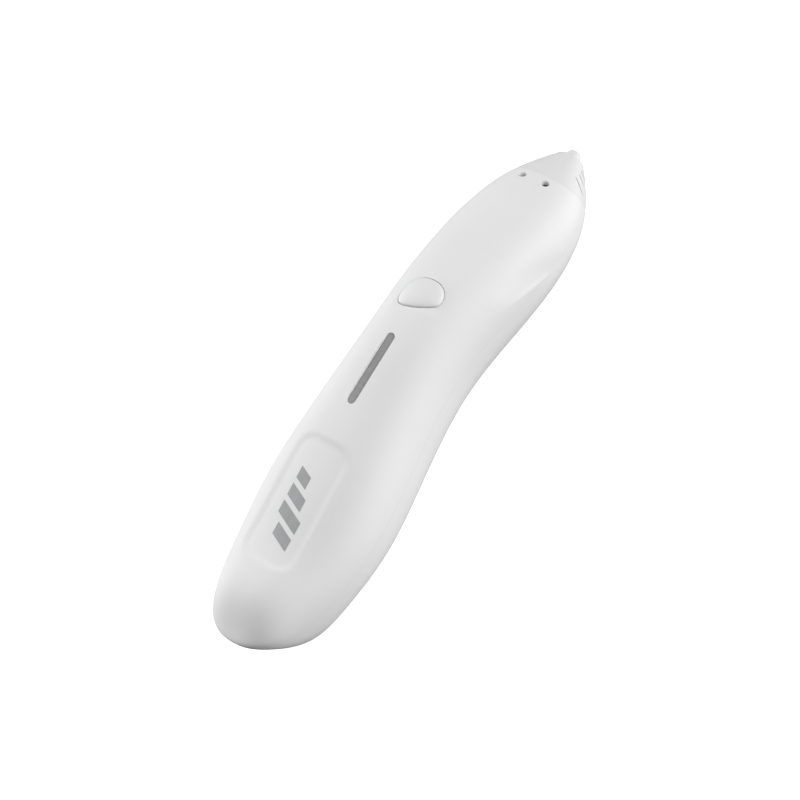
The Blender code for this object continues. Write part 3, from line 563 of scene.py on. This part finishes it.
CARRIED_OVER = {
    DARK: ["charge_socket_tongue", "filament_inlet_bush", "switch_plunger", "temperature_sensor"],
    BLACK_NYLON: ["switch_body", "driver_chip", "feed_frame"],
    NYLON: ["battery_cradle", "feed_gear", "idler_arm"],
    HOSE: ["inlet_tube", "feed_tube"],
    CERAMIC: ["insulating_collar", "heater_coil"],
    WRAP: ["battery_cell"],
    LENS: ["status_led_1", "status_led_2", "status_led_3"],
    STEEL: ["charge_socket", "board_screw_1", "board_screw_2", "gear_motor_can", "motor_shaft", "feed_shaft",
            "feed_wheel", "idler_pivot_pin", "idler_axle", "idler_roller", "idler_spring"],
    BRASS: ["gearbox_housing", "gearbox_collar", "motor_pinion", "feed_bush_left", "feed_bush_right",
            "melt_barrel"],
    ALUMINIUM: ["heat_sink"],
    BOARD: ["charge_board", "main_board"],
}


def dress_carried_over_nodes():
    for look, names in CARRIED_OVER.items():
        for name in names:
            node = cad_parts[name]
            node.data.materials.clear()
            node.data.materials.append(look)


# ---------------------------------------------------------------- shells

def along_body(share, last):
    """Distances that crowd at the tail's round end."""
    return TAIL_END + (last - TAIL_END) * share ** 1.7


def shell_half(name, start, steps_along, steps_around):
    """Half of the body as a closed shell; start is the angle at which its arc begins."""
    half = thick_grid(name, steps_along, steps_around)
    lift = 1 if start == 0 else -1

    def wrap(points):
        distance = along_body(points[:, 0], BODY_FRONT - CAP_SEAM)
        angle = start + math.pi * points[:, 1]
        inner = points[:, 2] < -0.5
        outer_points = skin(distance, angle)
        inner_points = skin(distance, angle, WALL)
        inner_points[:, 0] += INNER_PUSH * np.exp(-distance / 9)
        found = np.where(inner[:, None], inner_points, outer_points)
        closeness = np.clip(1 - np.abs(found[:, 2] - section(distance)[0]) / 2, 0, 1)
        found[:, 2] += lift * SEAM * closeness * np.minimum((distance - TAIL_END) / 2, 1)
        return to_frame(found)

    reshape(half, wrap)
    activate(half)
    bpy.ops.object.mode_set(mode="EDIT")
    bpy.ops.mesh.select_all(action="SELECT")
    bpy.ops.mesh.remove_doubles(threshold=MERGE_AT)
    bpy.ops.object.mode_set(mode="OBJECT")
    face_out(half)
    return half


def rounded_outline(half_length, half_width, corner, steps=10):
    """Points of a round-cornered rectangle about its middle."""
    outline = []
    for quarter, (u, v) in enumerate(((1, 1), (-1, 1), (-1, -1), (1, -1))):
        for k in range(steps + 1):
            angle = math.pi / 2 * (quarter + k / steps)
            x = u * (half_length - corner) + corner * math.cos(angle)
            y = v * (half_width - corner) + corner * math.sin(angle)
            outline.append((x, y))
    return np.array(outline)


def button_outline(grow, count=96):
    """The button's outline: round towards the tip, nearly straight and slanted towards the tail."""
    angle = 2 * np.pi * np.arange(count) / count
    along, across = np.cos(angle), np.sin(angle)
    y = (BUTTON_HALF_WIDTH + grow) * np.sign(across) * np.abs(across) ** 0.92
    front = (BUTTON_FRONT + grow) * np.abs(along) ** 0.92
    back = (BUTTON_BACK + grow) * np.abs(along) ** 0.6 + BUTTON_SLANT * y * np.abs(along) ** 0.5
    return np.stack([BUTTON_MIDDLE + np.where(along > 0, front, -back), y], axis=-1)


def opening_tool(name, outline_at, levels):
    """A cutter that follows the top: levels give (grow, height above the smooth surface)."""
    count = len(outline_at(0.0))
    tool = stacked(name, count, [(k, 1.0) for k in range(len(levels))])

    def follow(points):
        turn = np.round(np.arctan2(points[:, 1], points[:, 0]) / (2 * math.pi) * count).astype(int) % count
        row = np.round(points[:, 2]).astype(int)
        found = np.zeros_like(points)
        for k, (grow, lift) in enumerate(levels):
            outline = outline_at(grow)
            pick = row == k
            flat = outline[turn[pick]]
            found[pick, :2] = flat
            found[pick, 2] = top_height(flat[:, 0], flat[:, 1]) + lift
        return to_frame(found)

    reshape(tool, follow)
    return tool


def slot_outline(grow):
    middle = (WINDOW_BACK + WINDOW_FRONT) / 2
    half_length, half_width = (WINDOW_FRONT - WINDOW_BACK) / 2 + grow, WINDOW_HALF_WIDTH + grow
    return rounded_outline(half_length, half_width, half_width - 0.001) + np.array([middle, 0])


def eye_tool(name, side):
    """A round hole with a soft countersink, square to the surface."""
    levels = [(-3.0, EYE_RADIUS), (-0.45, EYE_RADIUS), (-0.2, EYE_RADIUS + 0.06), (0.0, EYE_RADIUS + 0.2),
              (0.12, EYE_RADIUS + 0.42), (1.0, EYE_RADIUS + 1.2)]
    tool = stacked(name, 48, levels)
    centre, out = eye_place(side)
    point_along(tool, centre, out)
    return into_frame(tool)


def eye_place(side):
    """Where an eye sits on the surface, and which way the surface faces there."""
    def surface(distance, across):
        return np.array([distance, across, float(top_height(distance, across))])

    centre = surface(EYE_AT, side)
    along = surface(EYE_AT + 0.1, side) - centre
    across = surface(EYE_AT, side + 0.1) - centre
    out = np.cross(along, across)
    return centre, out / np.linalg.norm(out)


def make_upper_shell():
    shell = shell_half("upper_shell_skin", 0.0, 320, 110)
    window_edge = [(0.0, -4.5), (0.0, -0.32), (0.05, -0.14), (0.22, 0.05), (0.4, 1.2)]
    button_edge = [(0.0, -4.7), (0.0, -0.3), (0.03, -0.12), (0.12, 0.02), (0.26, 1.0)]
    window_hole = opening_tool("window_hole", slot_outline, window_edge)
    button_hole = opening_tool("button_hole", lambda grow: button_outline(grow + BUTTON_GAP), button_edge)
    eye_holes = [eye_tool("eye_hole_a", EYE_SIDE), eye_tool("eye_hole_b", -EYE_SIDE)]
    cut_with(shell, [window_hole, button_hole] + eye_holes)
    dress(shell, SHELL, nodes=["upper_shell"])


def facet_point(points):
    """Points given across, up and out from the middle of the tail facet's face."""
    across, up, out = points[:, 0:1], points[:, 1:2], points[:, 2:3]
    on_facet = np.array(FACET_MIDDLE) + across * np.array([0, 1, 0]) + up * np.array(FACET_UP)
    return to_frame(on_facet + out * np.array(FACET_OUT))


def facet_slab(name, half_width, half_height, middle_up, corner, low, high, bevel=0.0):
    """A round-cornered slab lying on the tail facet."""
    deselect()
    bpy.ops.mesh.primitive_cube_add(size=1, location=(0, middle_up, (low + high) / 2))
    slab = named(name)
    slab.scale = (2 * half_width, 2 * half_height, high - low)
    settle(slab)
    bpy.ops.object.mode_set(mode="EDIT")
    bpy.ops.mesh.select_all(action="DESELECT")
    bpy.ops.object.mode_set(mode="OBJECT")
    for edge in slab.data.edges:
        a, b = (slab.data.vertices[k].co for k in edge.vertices)
        edge.select = abs(a.z - b.z) > 0.5 * (high - low)
    bpy.ops.object.mode_set(mode="EDIT")
    bpy.ops.mesh.select_mode(type="EDGE")
    bpy.ops.mesh.bevel(offset=corner, segments=10, affect="EDGES")
    bpy.ops.object.mode_set(mode="OBJECT")
    if bevel:
        bevel_edges(slab, bevel)
    return slab


def screw_hole_tools():
    tools = []
    for k, (distance, side, ledge) in enumerate(CASE_SCREWS):
        for y in (-side, side):
            tool = stacked(f"screw_hole_{k}_{y:.0f}", 32, [(-1, 1.7), (ledge, 1.7), (ledge, 1.1), (24, 1.1)])
            reshape(tool, lambda points, x=distance, y=y: to_frame(points + np.array([x, y, 0])))
            tools.append(tool)
    return tools


def make_lower_shell():
    shell = shell_half("lower_shell_skin", math.pi, 220, 80)
    mouth = facet_slab("plate_mouth", FACET_HALF_WIDTH + 0.12, FACET_HALF_HEIGHT + 0.12, 0, 2.8, -4, 6)
    reshape(mouth, facet_point)
    cut_with(shell, [mouth] + screw_hole_tools())
    dress(shell, SHELL, nodes=["lower_shell"])


# ---------------------------------------------------------------- nose

def ring_angle(points):
    return np.arctan2(points[:, 1], points[:, 0])


def make_nose_cap():
    """The cap: drawn out from the seam to its round mouth, then back inside as a hollow wall."""
    back = BODY_FRONT + CAP_SEAM
    rows = [(back + (CAP_FRONT - back) * k / 40, 0.0) for k in range(41)]
    rows += [(CAP_FRONT - 0.02, 0.25), (CAP_FRONT - 1.0, 0.9)]
    rows += [(distance, 1.7) for distance in (173.5, 171, 168, 165, back)]
    levels = [(k, 1.0) for k in range(len(rows))]
    cap = stacked("nose_cap_skin", 128, levels)
    mouth_rows = (40, 41, 42)

    def draw(points):
        angle = ring_angle(points)
        row = np.round(points[:, 2]).astype(int)
        found = np.zeros_like(points)
        for k, (distance, inset) in enumerate(rows):
            pick = row == k
            found[pick] = bare_skin(np.full(pick.sum(), distance), angle[pick], inset)
        for k, radius in zip(mouth_rows, (3.35, 3.08, 3.0)):
            pick = row == k
            direction = found[pick][:, 1:] - np.array([0, NOZZLE_HEIGHT])
            direction /= np.linalg.norm(direction, axis=1, keepdims=True)
            rim = np.array([0, NOZZLE_HEIGHT]) + direction * radius
            share = 0.35 if k == 40 else 1.0
            found[pick, 1:] = found[pick][:, 1:] * (1 - share) + rim * share
        return to_frame(found)

    reshape(cap, draw)
    slits = [slit_tool(start, end, mirrored) for start, end in VENT_SLITS for mirrored in (False, True)]
    cut_with(cap, slits)
    dress(cap, CAP_PAINTED_SHADE, nodes=["nose_cap"])


def slit_tool(start, end, mirrored):
    """A thin curved blade that cuts a vent between two places, each (distance, degrees up the side)."""
    steps = 8
    blade = thick_grid("slit_blade", steps, 1)

    def bend(points):
        share, across, depth = points[:, 0], points[:, 1], points[:, 2]
        distance = start[0] + (end[0] - start[0]) * share + (across - 0.5) * 2 * SLIT_HALF_WIDTH
        degrees = start[1] + (end[1] - start[1]) * share
        taper = np.where((share < 0.01) | (share > 0.99), 0.35, 1.0)
        distance = distance + (0.5 - across) * 2 * SLIT_HALF_WIDTH * (1 - taper)
        angle = np.radians(180 - degrees if mirrored else degrees)
        outer, inner = bare_skin(distance, angle, -0.6), bare_skin(distance, angle, 1.0)
        return to_frame(np.where(depth[:, None] < -0.5, inner, outer))

    reshape(blade, bend)
    return blade


def make_nozzle():
    """Stub with a soft shoulder, a rounded end and the drilled hole."""
    shank = [(0, 2.5), (6.0, 2.5), (6.0, 2.72), (6.1, 2.8), (9.0, 2.8), (9.3, 2.72), (9.7, 2.56)]
    round_end = [(10.1, 2.42), (10.5, 2.27), (10.85, 2.09), (11.15, 1.88), (11.4, 1.64), (11.58, 1.4)]
    flat_end = [(11.67, 1.2), (11.7, 0.98), (11.7, 0.45)]
    hole = [(11.62, 0.36), (9.9, 0.35)]
    nozzle = stacked("nozzle_stub", 64, shank + round_end + flat_end + hole)
    point_along(nozzle, (166.3, 0, NOZZLE_HEIGHT), (1, 0, 0))
    into_frame(nozzle)
    dress(nozzle, CAP_PAINTED_SHADE, nodes=["nozzle"])


def make_eyes():
    # Each eye hole gets a near-black insert set deep inside it. This is painted shade: a dark piece that
    # stands in for the shade inside the hole.
    for name, side in (("left", EYE_SIDE), ("right", -EYE_SIDE)):
        rim, rim_height, rise = EYE_RADIUS - 0.03, -1.42, 0.22
        levels = [(-2.6, 0.9), (-2.6, rim), (-1.5, rim), (rim_height, EYE_RADIUS - 0.1)]
        for k in range(1, 6):
            turn = math.radians(15 * k)
            levels.append((rim_height + rise * math.sin(turn), math.cos(turn)))
        lens = stacked(f"eye_shade_plug_{name}", 40, levels)
        centre, out = eye_place(side)
        point_along(lens, centre, out)
        into_frame(lens)
        dress(lens, DARK, nodes=[f"eye_lens_{name}"])


# ---------------------------------------------------------------- top features

def make_button():
    """Domed key: a stem over the switch, a flange under the shell, a skirt, a rolled edge and a crown."""
    count = 96
    stem = [36.6, 37.2]
    skirt = [(0.5, -3.0), (0.5, -2.55), (0.0, -2.45), (0.0, -0.42), (-0.03, -0.2), (-0.12, -0.05)]
    below_crown = len(stem) + len(skirt)
    crown_steps = 14
    key = stacked("button_key", count, [(k, 1.0) for k in range(below_crown + crown_steps)])

    def shape(points):
        turn = np.round(ring_angle(points) / (2 * math.pi) * count).astype(int) % count
        row = np.round(points[:, 2]).astype(int)
        found = np.zeros_like(points)
        middle = np.array([BUTTON_MIDDLE, 0.0])
        for k in range(below_crown + crown_steps):
            pick = row == k
            if k < len(stem):
                found[pick, :2] = middle + (button_outline(0.0)[turn[pick]] - middle) * STEM_SHARE
                found[pick, 2] = stem[k]
                continue
            if k < below_crown:
                grow, lift = skirt[k - len(stem)]
                flat = button_outline(grow)[turn[pick]]
            else:
                rise = math.radians(90 * (k - below_crown + 1) / (crown_steps + 1))
                flat = middle + (button_outline(-0.12)[turn[pick]] - middle) * math.cos(rise)
                lift = -0.05 + (BUTTON_DOME - 0.05) * math.sin(rise)
            found[pick, :2] = flat
            found[pick, 2] = top_height(flat[:, 0], flat[:, 1]) + lift
        return to_frame(found)

    reshape(key, shape)
    dress(key, BUTTON, body="button", nodes=["button_cap"])


def make_light_window():
    rows = [(-0.04, -3.4), (-0.04, -0.45), (-0.1, -0.37), (-0.3, -0.33), (-0.7, -0.3)]
    window = opening_tool("light_bar", slot_outline, rows)
    face_out(window)
    dress(window, WINDOW, nodes=["light_window"])


def make_pad_mark():
    """A generic printed mark on the pad: slanted bars of changing length."""
    bars = []
    lean = 0.45
    for k, (reach_low, reach_high) in enumerate(((-4.6, 1.6), (-4.6, 3.4), (-2.8, 3.4), (-1.0, 3.4))):
        bar = thick_grid(f"mark_bar_{k}", 12, 16)
        back = 30.6 + 5.2 * k

        def lay(points, back=back, low=reach_low, high=reach_high):
            side = low + (high - low) * points[:, 1]
            distance = back + 3.6 * points[:, 0] + lean * side
            height = top_height(distance, side) - PAD_DEPTH + np.where(points[:, 2] < -0.5, -0.05, 0.03)
            return to_frame(np.stack([distance, side, height], axis=-1))

        reshape(bar, lay)
        bars.append(bar)
    activate(bars[0])
    for bar in bars:
        bar.select_set(True)
    bpy.ops.object.join()
    mark = named("pad_mark")
    face_out(mark)
    dress(mark, INK)


# ---------------------------------------------------------------- tail and screws

def make_tail_plate():
    half_width, half_height = FACET_HALF_WIDTH, FACET_HALF_HEIGHT
    plate = facet_slab("port_plate", half_width, half_height, 0, 2.7, -PLATE_THICKNESS, 0, bevel=0.18)
    socket_mouth = facet_slab("socket_mouth", 4.62, 1.82, SOCKET_SLIDE, 1.75, -3, 2)
    reshape(plate, facet_point)
    reshape(socket_mouth, facet_point)
    inlet = stacked("inlet_hole", 40, [(0, 2.25), (16, 2.25)])
    point_along(inlet, (0, 0, 14.0), (1, 0, 0))
    into_frame(inlet)
    cut_with(plate, [socket_mouth, inlet])
    dress(plate, SHELL, nodes=["tail_port_plate"])


def make_case_screws():
    """Pan heads with a cross recess, shanks turned with a fine thread line."""
    number = 0
    for distance, side, ledge in CASE_SCREWS:
        for y in (-side, side):
            number += 1
            low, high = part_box(f"case_screw_{number}")
            top = (high.z - low.z) / MM
            levels = [(0, 0.85), (0.12, 1.18), (0.35, 1.36), (0.7, 1.4), (1.2, 1.4), (1.2, 0.8)]
            threads = int((top - 2.0) / 0.7)
            for k in range(threads):
                base = 1.5 + 0.7 * k
                levels += [(base, 0.62), (base + 0.28, 0.8), (base + 0.42, 0.8), (base + 0.66, 0.62)]
            levels += [(top - 0.1, 0.5), (top, 0.25)]
            screw = stacked(f"case_screw_body_{number}", 28, levels)
            slots = []
            for turn in (0, 1):
                deselect()
                bpy.ops.mesh.primitive_cube_add(size=1, location=(0, 0, 0.1))
                slot = named(f"cross_{number}_{turn}")
                slot.scale = (1.5, 0.32, 1.0) if turn else (0.32, 1.5, 1.0)
                settle(slot)
                slots.append(slot)
            cut_with(screw, slots)
            base = np.array([distance, y, low.z / MM])
            reshape(screw, lambda points, base=base: to_frame(points + base))
            dress(screw, STEEL, nodes=[f"case_screw_{number}"])


# ---------------------------------------------------------------- studio

AZIMUTH, ELEVATION, ROLL = math.radians(-22.07), math.radians(57.48), math.radians(-38.11)
CAMERA_DISTANCE = 0.6
LENS_LENGTH, SENSOR_WIDTH, SHIFT_RIGHT, SHIFT_UP = 94.63, 36.0, -0.0081, -0.0189
AIM = Vector((-0.00045, 0.0, 0.020))


def view_axes():
    """Right, up and towards-the-viewer directions of the camera."""
    level_share = math.cos(ELEVATION)
    ahead, aside = -math.cos(AZIMUTH) * level_share, math.sin(AZIMUTH) * level_share
    towards = Vector((aside, ahead, math.sin(ELEVATION)))
    level = Vector((math.cos(AZIMUTH), math.sin(AZIMUTH), 0))
    upright = towards.cross(level)
    right = level * math.cos(ROLL) + upright * math.sin(ROLL)
    up = upright * math.cos(ROLL) - level * math.sin(ROLL)
    return right, up, towards


def add_camera():
    right, up, towards = view_axes()
    lens = bpy.data.cameras.new("studio_camera")
    lens.sensor_width = SENSOR_WIDTH
    lens.lens = LENS_LENGTH
    lens.shift_x = SHIFT_RIGHT
    lens.shift_y = SHIFT_UP
    lens.clip_start = 0.01
    camera = bpy.data.objects.new("studio_camera", lens)
    bpy.context.scene.collection.objects.link(camera)
    turn = Matrix((right, up, towards)).transposed().to_4x4()
    camera.matrix_world = Matrix.Translation(AIM + towards * CAMERA_DISTANCE) @ turn
    bpy.context.scene.camera = camera


FLOOR_HEIGHT = -0.0004


def studio_white():
    """Pale, evenly lit paper for the floor and the backdrop."""
    finish = Finish("studio_white", Roughness=0.9)
    cloud = finish.noise(1.5, 2.0)
    finish.feed("Base Color", finish.blend(cloud, (0.9, 0.9, 0.9), (0.92, 0.92, 0.92)))
    finish.surface.inputs["Emission Color"].default_value = (1, 1, 1, 1)
    finish.surface.inputs["Emission Strength"].default_value = 0.8
    return finish.material


def add_stage(piece, look):
    """Make a piece part of the studio: the camera sees it, and the pen is neither lit by it nor mirrors it."""
    piece.data.materials.append(look)
    piece.visible_diffuse = False
    piece.visible_glossy = False
    piece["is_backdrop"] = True


def add_floor_and_backdrop():
    look = studio_white()
    deselect()
    bpy.ops.mesh.primitive_plane_add(size=6.0, location=(0, 0, FLOOR_HEIGHT))
    add_stage(named("studio_floor"), look)
    deselect()
    bpy.ops.mesh.primitive_uv_sphere_add(segments=48, ring_count=24, radius=3.5, location=(0, 0, 0))
    dome = named("studio_backdrop")
    dome.visible_shadow = False
    add_stage(dome, look)


SOFT_BOXES = [
    ((0.60, -0.78, -0.15), 2.9),
    ((-0.27, 0.96, 0.04), 1.35),
    ((0.42, -0.62, 0.66), 2.4),
    ((-0.33, 0.76, 0.56), 1.25),
    ((-0.06, 0.93, 0.36), 2.05),
    ((0.25, -0.77, -0.59), 0.3),
    ((0.06, -0.16, 0.99), 0.28),
]
AMBIENT, SOFTNESS = 0.04, 6.0


def add_world():
    """Soft studio surround: dim all round, with broad soft boxes on both sides of the pen."""
    world = bpy.data.worlds.new("studio_surround")
    world.use_nodes = True
    bpy.context.scene.world = world
    nodes, links = world.node_tree.nodes, world.node_tree.links

    def math_node(operation, first, second):
        node = nodes.new("ShaderNodeMath")
        node.operation = operation
        for socket, given in zip(node.inputs, (first, second)):
            if isinstance(given, (int, float)):
                socket.default_value = given
            else:
                links.new(given, socket)
        return node.outputs[0]

    place = nodes.new("ShaderNodeTexCoord").outputs["Generated"]
    total = AMBIENT
    for direction, strength in SOFT_BOXES:
        facing = nodes.new("ShaderNodeVectorMath")
        facing.operation = "DOT_PRODUCT"
        facing.inputs[1].default_value = Vector(direction).normalized()
        links.new(place, facing.inputs[0])
        ahead = math_node("MAXIMUM", facing.outputs["Value"], 0.0)
        glow = math_node("MULTIPLY", math_node("POWER", ahead, SOFTNESS), strength)
        total = math_node("ADD", glow, total)
    background = nodes["Background"]
    background.inputs["Color"].default_value = (1, 1, 1, 1)
    links.new(total, background.inputs["Strength"])


dress_carried_over_nodes()
make_upper_shell()
make_lower_shell()
make_nose_cap()
make_nozzle()
make_eyes()
make_button()
make_light_window()
make_pad_mark()
make_tail_plate()
make_case_screws()
deselect()
add_camera()
add_floor_and_backdrop()
add_world()
bpy.context.scene.view_settings.view_transform = "Standard"

sizes = {"cad": CAD_BOX, "visual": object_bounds()}
sizes = {name: [[float(v) for v in corner] for corner in corners] for name, corners in sizes.items()}
